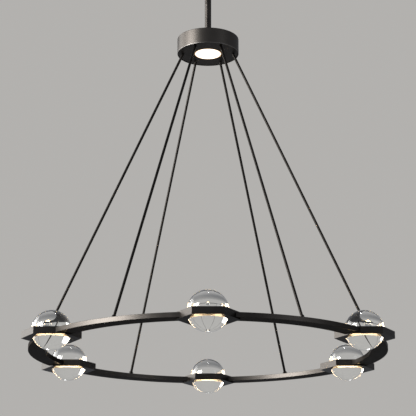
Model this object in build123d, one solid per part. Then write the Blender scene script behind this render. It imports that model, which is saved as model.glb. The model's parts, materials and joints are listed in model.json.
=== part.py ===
from build123d import *
import math
import os

# Orb chandelier: a flat ring that carries six crystal balls, hung by six rods from a drum-shaped hub,
# on one stem with a ball swivel in the ceiling canopy. Millimetres, +Z up.
# The origin is on the ceiling, over the stem.

# ---- driving dimensions ----

# ring
ORB_COUNT = 6
RING_RADIUS = 446.0
BAR_WIDTH = 44.0
BAR_HEIGHT = 12.0
BAR_WALL = 1.5
BAR_EDGE_CHAMFER = 0.7

# orb holders: low hexagonal boxes, two corners of each on the ring's line
HOLDER_HEIGHT = 18.0
HOLDER_WALL = 3.0
HOLDER_FLOOR = 2.0
HOLDER_EDGE_CHAMFER = 0.5
COVER_THICKNESS = 2.0
COVER_CLEARANCE = 0.15
TANG_LENGTH = 28.0
TANG_CLEARANCE = 0.15
POST_RADIUS = 3.5
POST_GAP = 4.0

# crystal orbs and their seats
ORB_DIAMETER = 100.0
ORB_RISE = 12.0
ORB_FLOOR_GAP = 0.3
ORB_COVER_GAP = 0.4
SEAT_GAP = 0.05
SEAT_RING_HEIGHT = 3.0
SEAT_RING_GAP = 2.5

# lights round each orb
STRIP_GAP = 0.2
STRIP_THICKNESS = 1.0
STRIP_HEIGHT = 11.0
DIFFUSER_WALL = 2.0
DIFFUSER_GAP = 3.5
DIFFUSER_TOP_GAP = 0.1
LIGHT_CHAMBER = 5.25

# support rods
ROD_RADIUS = 3.5
ROD_WALL = 1.0
ROD_FIT = 0.08
ROD_INSET = 15.5
ROD_START_RISE = 3.5
ROD_OVERHANG = 1.0
FOOT_WALL = 2.0
FOOT_LENGTH = 9.0
FOOT_SHANK_RADIUS = 5.0
FOOT_NUT_FLATS = 16.0
FOOT_NUT_HEIGHT = 4.0

# hub
RING_TO_HUB = 840.0
HUB_RADIUS = 85.5
HUB_HEIGHT = 44.0
HUB_WALL = 2.0
HUB_TOP = 2.5
HUB_EDGE_RADIUS = 1.0
BASE_THICKNESS = 4.0
BASE_RECESS = 1.0
BASE_CLEARANCE = 0.2
HUB_POST_COUNT = 3
HUB_POST_RADIUS = 5.0
HUB_POST_GAP = 11.0
SOCKET_LENGTH = 34.0
SOCKET_WIDTH = 20.0
SOCKET_HEIGHT = 11.0
SOCKET_SCREW_OFFSET = 12.5
SOCKET_CHAMFER = 2.0

# downlight in the hub
LENS_INSET = 47.5
LENS_LEDGE = 2.0
LENS_FLANGE = 2.0
LENS_CLEARANCE = 0.2
LENS_SINK = 0.2
HOUSING_BORE_GAP = 0.5
HOUSING_WALL = 2.5
HOUSING_TOP = 3.0
HOUSING_HEADROOM = 2.5
HOUSING_FLANGE = 2.0
HOUSING_FLANGE_WIDTH = 9.0
HOUSING_SCREW_COUNT = 3
HOUSING_EDGE_RADIUS = 1.0
BOARD_EDGE_GAP = 8.5
BOARD_THICKNESS = 1.6

# driver and terminal block in the hub
DRIVER_LENGTH = 90.0
DRIVER_WIDTH = 34.0
DRIVER_HEIGHT = 14.0
DRIVER_CORNER_RADIUS = 2.0
DRIVER_OFFSET = 33.0
DRIVER_EAR = 11.0
DRIVER_EAR_WIDTH = 10.0
DRIVER_EAR_THICKNESS = 2.0
TERMINAL_LENGTH = 24.0
TERMINAL_WIDTH = 14.0
TERMINAL_CHAMFER = 1.0
TERMINAL_GAP = 1.0

# leads
ROD_LEAD_RADIUS = 1.3
RING_LEAD_RADIUS = 1.8
LEAD_CLEARANCE = 0.3
SPLICE_LENGTH = 14.0
SPLICE_WIDTH = 10.0
SPLICE_GAP = 1.0
SUPPLY_LEAD_RADIUS = 2.5
CONNECTOR_LENGTH = 16.0
CONNECTOR_WIDTH = 12.0
CONNECTOR_HEIGHT = 10.0
CONNECTOR_CHAMFER = 1.5
CONNECTOR_RISE = 16.0

# stem
STEM_RADIUS = 9.0
STEM_WALL = 1.5
STEM_LENGTH = 300.0
NIPPLE_RADIUS = 5.0
NIPPLE_BORE_RADIUS = 3.2
NIPPLE_ENGAGEMENT = 14.0
NIPPLE_END = 2.0
THREAD_GAP = 0.05
LOCKNUT_FLATS = 18.0
LOCKNUT_HEIGHT = 5.0
WASHER_RADIUS = 14.0
WASHER_THICKNESS = 1.5

# ball swivel
SWIVEL_RADIUS = 15.0
SWIVEL_CLEARANCE = 0.3
SWIVEL_FLAT = 11.0
SWIVEL_NECK_RADIUS = 7.0
SWIVEL_TO_STEM = 20.0
SWIVEL_HEIGHT = 13.0
SEAT_LIP = 2.5
SEAT_WALL = 2.7
SEAT_SHOULDER = 2.0
SEAT_FLANGE_WIDTH = 4.0
SEAT_FLANGE = 3.0
SEAT_RUNNING_GAP = 0.05
SEAT_FLOAT = 0.1

# ceiling canopy and crossbar
CANOPY_RADIUS = 65.0
CANOPY_HEIGHT = 45.0
CANOPY_WALL = 1.5
CANOPY_FLOOR = 2.0
CANOPY_EDGE_RADIUS = 3.0
CROSSBAR_LENGTH = 110.0
CROSSBAR_WIDTH = 22.0
CROSSBAR_THICKNESS = 2.5
CROSSBAR_CORNER = 5.0
CROSSBAR_CENTRE_HOLE = 8.0
CEILING_SCREW_SPACING = 88.9
CEILING_SCREW_HOLE = 2.4
STUD_SPACING = 60.0
STUD_RADIUS = 2.45
STUD_REACH = 5.0
CAP_NUT_FLATS = 8.0
CAP_NUT_HEIGHT = 7.0
CAP_NUT_DOME_RADIUS = 3.6
CAP_NUT_DOME_ROUNDING = 2.4
EARTH_SCREW_X = -17.0
EARTH_SCREW_Y = 5.0

# screws: (shank radius, head radius, head height)
M3_SCREW = (1.45, 2.8, 1.8)
M4_SCREW = (1.95, 3.8, 2.4)
M5_SCREW = (2.45, 4.6, 3.0)
M3_LENGTH_IN_BASE = 3.0
COVER_SCREW_LENGTH = 9.0
BAR_SCREW_LENGTH = 8.0
BAR_SCREW_SPACING = 24.0
HUB_SCREW_LENGTH = 14.0
SCREW_HOLE_GAP = 0.15
SCREW_HOLE_SPARE_DEPTH = 1.0
PAN_HEAD_ROUNDING = 0.4  # share of the head's height

# ---- heights and angles that follow from them ----

STEP = 360.0 / ORB_COUNT
HALF_STEP = STEP / 2
COS30 = math.cos(math.radians(30))

# round each ball, from the inside out
DIFFUSER_RADIUS = ORB_DIAMETER / 2 + DIFFUSER_GAP + DIFFUSER_WALL
SEAT_RING_RADIUS = DIFFUSER_RADIUS - DIFFUSER_WALL - SEAT_RING_GAP
POST_CIRCLE_RADIUS = DIFFUSER_RADIUS + POST_GAP + POST_RADIUS
HOLDER_SIDE = (DIFFUSER_RADIUS + LIGHT_CHAMBER + STRIP_THICKNESS + STRIP_GAP + HOLDER_WALL) / COS30

# in the ring's frame: z = 0 at the middle of the bars' height
HOLDER_TOP = HOLDER_HEIGHT / 2
HOLDER_BOTTOM = -HOLDER_HEIGHT / 2
FLOOR_TOP = HOLDER_BOTTOM + HOLDER_FLOOR
COVER_BOTTOM = HOLDER_TOP - COVER_THICKNESS
BAR_TOP = BAR_HEIGHT / 2
BAR_INNER_FLOOR = -BAR_TOP + BAR_WALL
BAR_INNER_ROOF = BAR_TOP - BAR_WALL
SPLICE_HEIGHT = BAR_INNER_ROOF - BAR_INNER_FLOOR - FOOT_NUT_HEIGHT - SPLICE_GAP
TIP_ANGLE = math.degrees(math.atan(HOLDER_SIDE / RING_RADIUS))
TANG_ANGLE = TIP_ANGLE + math.degrees(TANG_LENGTH / RING_RADIUS)
CUT_START = TIP_ANGLE / 2
OVERRUN_ANGLE = 1.0  # how far a cut runs past the end of what it hollows

# rods lean in from the ring to the hub
ROD_BORE_RADIUS = ROD_RADIUS - ROD_WALL
FOOT_RADIUS = ROD_RADIUS + FOOT_WALL
ROD_CIRCLE_RADIUS = HUB_RADIUS - ROD_INSET
ROD_RUN = RING_RADIUS - ROD_CIRCLE_RADIUS
ROD_RISE = RING_TO_HUB - BAR_TOP
ROD_LEAN = math.degrees(math.atan(ROD_RUN / ROD_RISE))
SIN_LEAN = math.sin(math.radians(ROD_LEAN))
COS_LEAN = math.cos(math.radians(ROD_LEAN))

# in the hub's frame: z = 0 at the rim of the shell
BASE_TOP = BASE_RECESS + BASE_THICKNESS
SHELL_ROOF = HUB_HEIGHT - HUB_TOP
SOCKET_TOP = BASE_TOP + SOCKET_HEIGHT
NIPPLE_LOW = SHELL_ROOF - WASHER_THICKNESS - LOCKNUT_HEIGHT - NIPPLE_END
HOUSING_ROOF = SHELL_ROOF - DRIVER_HEIGHT - HOUSING_HEADROOM
TERMINAL_HEIGHT = NIPPLE_LOW - TERMINAL_GAP - HOUSING_ROOF
STEM_TOP = HUB_HEIGHT + STEM_LENGTH

# round the hub's axis, from the inside out
LENS_RADIUS = HUB_RADIUS - LENS_INSET
HOUSING_BORE_RADIUS = LENS_RADIUS + HOUSING_BORE_GAP
BOARD_RADIUS = HOUSING_BORE_RADIUS - BOARD_EDGE_GAP
HOUSING_RADIUS = HOUSING_BORE_RADIUS + HOUSING_WALL
HOUSING_FLANGE_RADIUS = HOUSING_RADIUS + HOUSING_FLANGE_WIDTH
HOUSING_SCREW_CIRCLE = (HOUSING_RADIUS + HOUSING_FLANGE_RADIUS) / 2
HUB_POST_CIRCLE = HOUSING_FLANGE_RADIUS + HUB_POST_GAP + HUB_POST_RADIUS

# round the swivel's ball, from the inside out
SEAT_MOUTH_RADIUS = SWIVEL_RADIUS - SEAT_LIP
SEAT_SPIGOT_RADIUS = SWIVEL_RADIUS + SWIVEL_CLEARANCE + SEAT_WALL
SEAT_BODY_RADIUS = SEAT_SPIGOT_RADIUS + SEAT_SHOULDER
SEAT_FLANGE_RADIUS = SEAT_BODY_RADIUS + SEAT_FLANGE_WIDTH

# in the object's frame: z = 0 at the ceiling
CANOPY_UNDERSIDE = -CANOPY_HEIGHT
SWIVEL_Z = CANOPY_UNDERSIDE + SWIVEL_HEIGHT
HUB_Z = SWIVEL_Z - SWIVEL_TO_STEM - STEM_TOP
RING_Z = HUB_Z - RING_TO_HUB

RING = Pos(0, 0, RING_Z)
HUB = Pos(0, 0, HUB_Z)
SWIVEL = Pos(0, 0, SWIVEL_Z)


# ---- shared shapes ----

def rod(radius, low, high, x=0.0, y=0.0):
    """Upright cylinder from one height to another."""
    return Pos(x, y, low) * Cylinder(radius, high - low, align=(Align.CENTER, Align.CENTER, Align.MIN))


def tube(outer, inner, low, high):
    """Upright tube from one height to another."""
    return rod(outer, low, high) - rod(inner, low, high)


def block(length, width, low, high, x=0.0, y=0.0):
    """Upright box from one height to another."""
    return Pos(x, y, low) * Box(length, width, high - low, align=(Align.CENTER, Align.CENTER, Align.MIN))


def hexagon_prism(flats, low, high):
    """Hexagonal prism across its flats, with corners on the X axis."""
    return Pos(0, 0, low) * extrude(RegularPolygon(flats / 2 / COS30, 6), high - low)


def nut(flats, bore, low, high):
    return hexagon_prism(flats, low, high) - rod(bore, low, high)


def pan_screw(size, length):
    """Pan-head screw, head up, with its seat at z = 0."""
    shank, head, head_height = size
    body = rod(head, 0, head_height)
    body = fillet(body.edges().group_by(Axis.Z)[-1], head_height * PAN_HEAD_ROUNDING)
    return body + rod(shank, -length, 0)


def countersunk_screw(size, length):
    """Flat-head screw, with the top of its head at z = 0."""
    shank, head, head_height = size
    cone = Pos(0, 0, -head_height / 2) * Cone(shank, head, head_height)
    return cone + rod(shank, -length, 0)


def countersunk_hole(size, length):
    """What a flat-head screw needs cut away, with a little room all round."""
    shank, head, head_height = size
    cone = Pos(0, 0, -head_height / 2) * Cone(shank + SCREW_HOLE_GAP, head + SCREW_HOLE_GAP, head_height)
    return cone + rod(shank + SCREW_HOLE_GAP, -length, 0)


def ring_sector(width, height, start, end, z=0.0, edge=0.0):
    """Rectangular bar bent round the ring, from one angle to another, counted from -Y."""
    face = Rectangle(width, height)
    if edge:
        face = chamfer(face.vertices(), edge)
    section = Plane.XZ * Pos(RING_RADIUS, z) * face
    return Rot(0, 0, start - 90) * revolve(section, Axis.Z, end - start)


def all_round(piece, offset=0.0):
    """One copy of a piece at each step round the object."""
    return [Rot(0, 0, offset + STEP * i) * piece for i in range(ORB_COUNT)]


# ---- orb holders, built at -Y in the ring's frame ----

HOLDER = Pos(0, -RING_RADIUS, 0)


def holder_prism(inset, low, high):
    """The holder's hexagon with its sides moved in by the inset."""
    return HOLDER * hexagon_prism(2 * (HOLDER_SIDE * COS30 - inset), low, high)


def orb_ball(gap=0.0):
    """The ball, or the space round it with a gap."""
    return HOLDER * Pos(0, 0, ORB_RISE) * Sphere(ORB_DIAMETER / 2 + gap)


def post_places():
    """Screw posts in the four corners of the holder that the ring doesn't reach."""
    return [HOLDER * Rot(0, 0, a) * Pos(POST_CIRCLE_RADIUS, 0, 0) for a in (60, 120, 240, 300)]


def bar_screw_places():
    """Two screws at each side of the holder, through the bar's roof into the tang."""
    angle = (TIP_ANGLE + TANG_ANGLE) / 2 + math.degrees(HOLDER_WALL / RING_RADIUS)
    places = []
    for side in (-1, 1):
        for across in (-0.5, 0.5):
            radius = RING_RADIUS + across * BAR_SCREW_SPACING
            places.append(Rot(0, 0, side * angle) * Pos(0, -radius, BAR_TOP))
    return places


def tang(side):
    """Arc that reaches from the holder into the hollow end of a bar, grooved below for the lead."""
    width = BAR_WIDTH - 2 * (BAR_WALL + TANG_CLEARANCE)
    height = BAR_HEIGHT - 2 * (BAR_WALL + TANG_CLEARANCE)
    start, end = sorted((side * CUT_START, side * TANG_ANGLE))
    body = ring_sector(width, height, start, end)
    return body - holder_prism(HOLDER_WALL, HOLDER_BOTTOM, HOLDER_TOP)


def lead_groove(side):
    """Channel for the lead, through the tang and the holder's wall."""
    start, end = sorted((side * CUT_START, side * (TANG_ANGLE + OVERRUN_ANGLE)))
    depth = 2 * RING_LEAD_RADIUS + 2 * LEAD_CLEARANCE
    width = 2 * RING_LEAD_RADIUS + 4 * LEAD_CLEARANCE
    return ring_sector(width, depth, start, end, BAR_INNER_FLOOR + depth / 2)


def orb_holder():
    shell = holder_prism(0, HOLDER_BOTTOM, HOLDER_TOP)
    shell = chamfer(shell.edges().filter_by(Axis.Z, reverse=True), HOLDER_EDGE_CHAMFER)
    shell -= holder_prism(HOLDER_WALL, FLOOR_TOP, HOLDER_TOP)
    for place in post_places():
        shell += place * rod(POST_RADIUS, FLOOR_TOP, COVER_BOTTOM)
    for side in (-1, 1):
        shell += tang(side)
        shell -= lead_groove(side)
    shell -= orb_ball(ORB_FLOOR_GAP)
    for place in post_places():
        shank = M3_SCREW[0] + THREAD_GAP
        shell -= place * rod(shank, HOLDER_TOP - COVER_SCREW_LENGTH - SCREW_HOLE_SPARE_DEPTH, HOLDER_TOP)
    for place in bar_screw_places():
        shell -= place * countersunk_hole(M4_SCREW, BAR_HEIGHT)
    return shell


def holder_cover():
    plate = holder_prism(HOLDER_WALL + COVER_CLEARANCE, COVER_BOTTOM, HOLDER_TOP)
    hole = ORB_DIAMETER / 2 + ORB_COVER_GAP
    plate -= HOLDER * rod(hole, COVER_BOTTOM, HOLDER_TOP)
    for place in post_places():
        plate -= place * Pos(0, 0, HOLDER_TOP) * countersunk_hole(M3_SCREW, COVER_SCREW_LENGTH)
    return plate


def cover_screws():
    screw = Pos(0, 0, HOLDER_TOP) * countersunk_screw(M3_SCREW, COVER_SCREW_LENGTH)
    return [place * screw for place in post_places()]


def bar_screws():
    screw = countersunk_screw(M4_SCREW, BAR_SCREW_LENGTH)
    return [place * screw for place in bar_screw_places()]


def seat_ring():
    ring = HOLDER * tube(SEAT_RING_RADIUS, SEAT_RING_RADIUS / 2, FLOOR_TOP, FLOOR_TOP + SEAT_RING_HEIGHT)
    return ring - orb_ball(SEAT_GAP)


def light_strip():
    inset = HOLDER_WALL + STRIP_GAP
    low, high = -STRIP_HEIGHT / 2, STRIP_HEIGHT / 2
    return holder_prism(inset, low, high) - holder_prism(inset + STRIP_THICKNESS, low, high)


def light_diffuser():
    top = COVER_BOTTOM - DIFFUSER_TOP_GAP
    return HOLDER * tube(DIFFUSER_RADIUS, DIFFUSER_RADIUS - DIFFUSER_WALL, FLOOR_TOP, top)


# ---- ring bars, built from one holder to the next ----

def between_holders(piece, inset=0.0):
    """Cuts a piece off where it meets the holders at its two ends."""
    cutter = holder_prism(inset, HOLDER_BOTTOM, HOLDER_TOP)
    return piece - cutter - Rot(0, 0, STEP) * cutter


def ring_bar():
    bar = ring_sector(BAR_WIDTH, BAR_HEIGHT, CUT_START, STEP - CUT_START, edge=BAR_EDGE_CHAMFER)
    inner_width = BAR_WIDTH - 2 * BAR_WALL
    inner_height = BAR_HEIGHT - 2 * BAR_WALL
    start, end = CUT_START - OVERRUN_ANGLE, STEP - CUT_START + OVERRUN_ANGLE
    bar -= ring_sector(inner_width, inner_height, start, end)
    bar = between_holders(bar)
    bar -= Rot(0, 0, HALF_STEP) * rod(FOOT_SHANK_RADIUS + SCREW_HOLE_GAP, 0, BAR_TOP, 0, -RING_RADIUS)
    hole = countersunk_hole(M4_SCREW, BAR_TOP)
    for place in bar_screw_places():
        bar -= place * hole
        bar -= Rot(0, 0, STEP) * place * hole
    return bar


def ring_leads():
    """Two leads in a bar, from the splice in its middle to the holders at its ends."""
    z = BAR_INNER_FLOOR + LEAD_CLEARANCE + RING_LEAD_RADIUS
    half_splice = math.degrees((SPLICE_LENGTH / 2 + LEAD_CLEARANCE) / RING_RADIUS)
    spans = ((CUT_START, HALF_STEP - half_splice), (HALF_STEP + half_splice, STEP - CUT_START))
    leads = []
    for start, end in spans:
        section = Plane.XZ * Pos(RING_RADIUS, z) * Circle(RING_LEAD_RADIUS)
        lead = Rot(0, 0, start - 90) * revolve(section, Axis.Z, end - start)
        leads.append(between_holders(lead, HOLDER_WALL))
    return leads


def lead_splice():
    high = BAR_INNER_FLOOR + SPLICE_HEIGHT
    splice = block(SPLICE_LENGTH, SPLICE_WIDTH, BAR_INNER_FLOOR, high, 0, -RING_RADIUS)
    return Rot(0, 0, HALF_STEP) * splice


# ---- support rods, built at the first half step in the ring's frame ----

def rod_axis():
    """Place at the bar's top, with +Z up along the leaning rod."""
    return Rot(0, 0, HALF_STEP) * Pos(0, -RING_RADIUS, BAR_TOP) * Rot(-ROD_LEAN, 0, 0)


def along_rod(height):
    """Distance along the rod's axis for a height over the bar's top."""
    return height / COS_LEAN


ROD_START = along_rod(ROD_START_RISE)
ROD_END = along_rod(ROD_RISE + SOCKET_TOP + ROD_OVERHANG)


def support_rod():
    return rod_axis() * tube(ROD_RADIUS, ROD_BORE_RADIUS, ROD_START, ROD_END)


def rod_foot():
    boss = rod_axis() * rod(FOOT_RADIUS, -FOOT_RADIUS, FOOT_LENGTH)
    below = block(BAR_WIDTH, BAR_WIDTH, -BAR_HEIGHT, BAR_TOP, 0, -RING_RADIUS)
    foot = boss - Rot(0, 0, HALF_STEP) * below
    shank_low = BAR_INNER_ROOF - FOOT_NUT_HEIGHT
    foot += Rot(0, 0, HALF_STEP) * rod(FOOT_SHANK_RADIUS, shank_low, BAR_TOP, 0, -RING_RADIUS)
    foot -= rod_axis() * rod(ROD_RADIUS + ROD_FIT, ROD_START, 2 * FOOT_LENGTH)
    foot -= rod_axis() * rod(ROD_LEAD_RADIUS + LEAD_CLEARANCE, -2 * FOOT_LENGTH, 2 * FOOT_LENGTH)
    return foot


def foot_nut():
    low = BAR_INNER_ROOF - FOOT_NUT_HEIGHT
    bore = FOOT_SHANK_RADIUS + THREAD_GAP
    return Rot(0, 0, HALF_STEP) * Pos(0, -RING_RADIUS, 0) * nut(FOOT_NUT_FLATS, bore, low, BAR_INNER_ROOF)


def rod_lead():
    splice_top = BAR_INNER_FLOOR + SPLICE_HEIGHT
    clear = splice_top + LEAD_CLEARANCE / 2 + ROD_LEAD_RADIUS * SIN_LEAN
    return rod_axis() * rod(ROD_LEAD_RADIUS, along_rod(clear - BAR_TOP), ROD_END)


# ---- hub, built in its own frame ----

def rod_radius_at(height):
    """How far the rod's axis is from the hub's axis, at a height in the hub's frame."""
    return ROD_CIRCLE_RADIUS - height * ROD_RUN / ROD_RISE


SOCKET_RADIUS = rod_radius_at((BASE_TOP + SOCKET_TOP) / 2)


def hub_rod_cut():
    """The rod's path in the hub's frame."""
    path = rod(ROD_RADIUS + ROD_FIT, ROD_START, ROD_END + SOCKET_HEIGHT)
    return Pos(0, 0, -RING_TO_HUB) * rod_axis() * path


def socket_screw_places():
    spots = (-SOCKET_SCREW_OFFSET, SOCKET_SCREW_OFFSET)
    return [Rot(0, 0, HALF_STEP) * Pos(x, -SOCKET_RADIUS, SOCKET_TOP) for x in spots]


def rod_socket():
    body = block(SOCKET_LENGTH, SOCKET_WIDTH, BASE_TOP, SOCKET_TOP, 0, -SOCKET_RADIUS)
    body = Rot(0, 0, HALF_STEP) * chamfer(body.edges().filter_by(Axis.Z), SOCKET_CHAMFER)
    body -= hub_rod_cut()
    for place in socket_screw_places():
        body -= place * rod(M3_SCREW[0] + SCREW_HOLE_GAP, -SOCKET_HEIGHT, 0)
    return body


def hub_post_places(z=0.0):
    angles = [STEP + 360 / HUB_POST_COUNT * i for i in range(HUB_POST_COUNT)]
    return [Rot(0, 0, a) * Pos(0, -HUB_POST_CIRCLE, z) for a in angles]


def housing_screw_places():
    angles = [STEP + 360 / HOUSING_SCREW_COUNT * i for i in range(HOUSING_SCREW_COUNT)]
    return [Rot(0, 0, a) * Pos(0, -HOUSING_SCREW_CIRCLE, BASE_TOP + HOUSING_FLANGE) for a in angles]


def driver_screw_places():
    low = SHELL_ROOF - DRIVER_EAR_THICKNESS
    reach = DRIVER_LENGTH / 2 + DRIVER_EAR / 2
    return [Pos(x, DRIVER_OFFSET, low) * Rot(180, 0, 0) for x in (-reach, reach)]


def hub_shell():
    shell = rod(HUB_RADIUS, 0, HUB_HEIGHT)
    shell = fillet(shell.edges().group_by(Axis.Z)[-1], HUB_EDGE_RADIUS)
    shell -= rod(HUB_RADIUS - HUB_WALL, 0, SHELL_ROOF)
    shell -= rod(NIPPLE_RADIUS + SCREW_HOLE_GAP, SHELL_ROOF, HUB_HEIGHT)
    for place in hub_post_places(HUB_HEIGHT):
        shell -= place * rod(M5_SCREW[0] + SCREW_HOLE_GAP, -HUB_TOP, 0)
    for place in driver_screw_places():
        shell -= place * rod(M3_SCREW[0] + THREAD_GAP, -HUB_TOP - DRIVER_EAR_THICKNESS, 0)
    return shell


def hub_base():
    disc = rod(HUB_RADIUS - HUB_WALL - BASE_CLEARANCE, BASE_RECESS, BASE_TOP)
    for place in hub_post_places():
        disc += place * rod(HUB_POST_RADIUS, BASE_TOP, SHELL_ROOF)
        disc -= place * rod(M5_SCREW[0] + THREAD_GAP, SHELL_ROOF - HUB_SCREW_LENGTH, SHELL_ROOF)
    disc -= rod(LENS_RADIUS, BASE_RECESS, BASE_TOP)
    disc -= rod(LENS_RADIUS + LENS_LEDGE, BASE_TOP - LENS_FLANGE, BASE_TOP)
    for cut in all_round(hub_rod_cut()):
        disc -= cut
    for place in socket_screw_places():
        for cut in all_round(place * rod(M3_SCREW[0] + THREAD_GAP, -SOCKET_HEIGHT - M3_LENGTH_IN_BASE, 0)):
            disc -= cut
    for place in housing_screw_places():
        disc -= place * rod(M3_SCREW[0] + THREAD_GAP, -HOUSING_FLANGE - M3_LENGTH_IN_BASE, 0)
    return disc


def downlight_lens():
    face = rod(LENS_RADIUS - LENS_CLEARANCE, BASE_RECESS + LENS_SINK, BASE_TOP)
    return face + rod(LENS_RADIUS + LENS_LEDGE - LENS_CLEARANCE, BASE_TOP - LENS_FLANGE, BASE_TOP)


def downlight_housing():
    cup = rod(HOUSING_RADIUS, BASE_TOP, HOUSING_ROOF)
    cup = fillet(cup.edges().group_by(Axis.Z)[-1], HOUSING_EDGE_RADIUS)
    cup += rod(HOUSING_FLANGE_RADIUS, BASE_TOP, BASE_TOP + HOUSING_FLANGE)
    cup -= rod(HOUSING_BORE_RADIUS, BASE_TOP, HOUSING_ROOF - HOUSING_TOP)
    for place in housing_screw_places():
        cup -= place * rod(M3_SCREW[0] + SCREW_HOLE_GAP, -HOUSING_FLANGE, 0)
    return cup


def downlight_board():
    top = HOUSING_ROOF - HOUSING_TOP
    return rod(BOARD_RADIUS, top - BOARD_THICKNESS, top)


def driver():
    body = block(DRIVER_LENGTH, DRIVER_WIDTH, SHELL_ROOF - DRIVER_HEIGHT, SHELL_ROOF, 0, DRIVER_OFFSET)
    body = fillet(body.edges().filter_by(Axis.Z), DRIVER_CORNER_RADIUS)
    length = DRIVER_LENGTH + 2 * DRIVER_EAR
    low = SHELL_ROOF - DRIVER_EAR_THICKNESS
    body += block(length, DRIVER_EAR_WIDTH, low, SHELL_ROOF, 0, DRIVER_OFFSET)
    for place in driver_screw_places():
        body -= place * rod(M3_SCREW[0] + SCREW_HOLE_GAP, -DRIVER_EAR_THICKNESS, 0)
    return body


def terminal_block():
    body = block(TERMINAL_LENGTH, TERMINAL_WIDTH, HOUSING_ROOF, HOUSING_ROOF + TERMINAL_HEIGHT)
    return chamfer(body.edges().filter_by(Axis.Z), TERMINAL_CHAMFER)


def small_hub_screws():
    """M3 screws of the sockets, the downlight housing and the driver."""
    screws = []
    for place in socket_screw_places():
        screws += all_round(place * pan_screw(M3_SCREW, SOCKET_HEIGHT + M3_LENGTH_IN_BASE))
    for place in housing_screw_places():
        screws.append(place * pan_screw(M3_SCREW, HOUSING_FLANGE + M3_LENGTH_IN_BASE))
    for place in driver_screw_places():
        screws.append(place * pan_screw(M3_SCREW, DRIVER_EAR_THICKNESS + HUB_TOP))
    return screws


def hub_screws():
    return [place * pan_screw(M5_SCREW, HUB_SCREW_LENGTH) for place in hub_post_places(HUB_HEIGHT)]


# ---- stem, built in the hub's frame ----

def stem():
    return tube(STEM_RADIUS, STEM_RADIUS - STEM_WALL, HUB_HEIGHT, STEM_TOP)


def stem_bushings():
    """Threaded bushings fixed in the two ends of the stem."""
    outer = STEM_RADIUS - STEM_WALL
    inner = NIPPLE_RADIUS + THREAD_GAP
    spans = ((HUB_HEIGHT, HUB_HEIGHT + NIPPLE_ENGAGEMENT), (STEM_TOP - NIPPLE_ENGAGEMENT, STEM_TOP))
    return [tube(outer, inner, low, high) for low, high in spans]


def stem_nipples():
    """Hollow threaded rods: one from the hub into the stem, one from the stem through the swivel ball."""
    ball_top = STEM_TOP + SWIVEL_TO_STEM + SWIVEL_FLAT
    spans = (
        (NIPPLE_LOW, HUB_HEIGHT + NIPPLE_ENGAGEMENT),
        (STEM_TOP - NIPPLE_ENGAGEMENT, ball_top + LOCKNUT_HEIGHT),
    )
    return [tube(NIPPLE_RADIUS, NIPPLE_BORE_RADIUS, low, high) for low, high in spans]


def stem_locknuts():
    """One nut under the hub's roof, one on top of the swivel ball."""
    bore = NIPPLE_RADIUS + THREAD_GAP
    high = SHELL_ROOF - WASHER_THICKNESS
    ball_top = STEM_TOP + SWIVEL_TO_STEM + SWIVEL_FLAT
    lower = nut(LOCKNUT_FLATS, bore, high - LOCKNUT_HEIGHT, high)
    return [lower, nut(LOCKNUT_FLATS, bore, ball_top, ball_top + LOCKNUT_HEIGHT)]


def stem_washer():
    return tube(WASHER_RADIUS, NIPPLE_RADIUS + SCREW_HOLE_GAP, SHELL_ROOF - WASHER_THICKNESS, SHELL_ROOF)


def supply_lead():
    high = STEM_TOP + SWIVEL_TO_STEM + CONNECTOR_RISE
    return rod(SUPPLY_LEAD_RADIUS, HOUSING_ROOF + TERMINAL_HEIGHT, high)


def lead_connector():
    low = STEM_TOP + SWIVEL_TO_STEM + CONNECTOR_RISE
    body = block(CONNECTOR_LENGTH, CONNECTOR_WIDTH, low, low + CONNECTOR_HEIGHT)
    return chamfer(body.edges().filter_by(Axis.Z), CONNECTOR_CHAMFER)


# ---- ball swivel, built round the ball's centre ----

def swivel_ball():
    ball = Sphere(SWIVEL_RADIUS) - rod(SWIVEL_RADIUS, SWIVEL_FLAT, 2 * SWIVEL_RADIUS)
    ball += rod(SWIVEL_NECK_RADIUS, -SWIVEL_TO_STEM, 0)
    return ball - rod(NIPPLE_RADIUS + THREAD_GAP, -SWIVEL_TO_STEM, SWIVEL_FLAT)


def swivel_seat():
    low = -SWIVEL_HEIGHT
    flange_low = low + CANOPY_FLOOR + SEAT_FLOAT
    seat = rod(SEAT_SPIGOT_RADIUS, low, flange_low)
    seat += rod(SEAT_FLANGE_RADIUS, flange_low, flange_low + SEAT_FLANGE)
    seat += rod(SEAT_BODY_RADIUS, flange_low, 0)
    seat -= Sphere(SWIVEL_RADIUS + SWIVEL_CLEARANCE)
    return seat - rod(SEAT_MOUTH_RADIUS, low, 0)


# ---- ceiling canopy and crossbar, built in the object's frame ----

def stud_places(z=0.0):
    return [Pos(x, 0, z) for x in (-STUD_SPACING / 2, STUD_SPACING / 2)]


def ceiling_canopy():
    cup = rod(CANOPY_RADIUS, CANOPY_UNDERSIDE, 0)
    cup = fillet(cup.edges().group_by(Axis.Z)[0], CANOPY_EDGE_RADIUS)
    hollow = rod(CANOPY_RADIUS - CANOPY_WALL, CANOPY_UNDERSIDE + CANOPY_FLOOR, 0)
    cup -= fillet(hollow.edges().group_by(Axis.Z)[0], CANOPY_EDGE_RADIUS - CANOPY_WALL)
    cup -= rod(SEAT_SPIGOT_RADIUS + SEAT_RUNNING_GAP, CANOPY_UNDERSIDE, CANOPY_UNDERSIDE + CANOPY_FLOOR)
    for place in stud_places(CANOPY_UNDERSIDE):
        cup -= place * rod(STUD_RADIUS + SCREW_HOLE_GAP, 0, CANOPY_FLOOR)
    return cup


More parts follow.
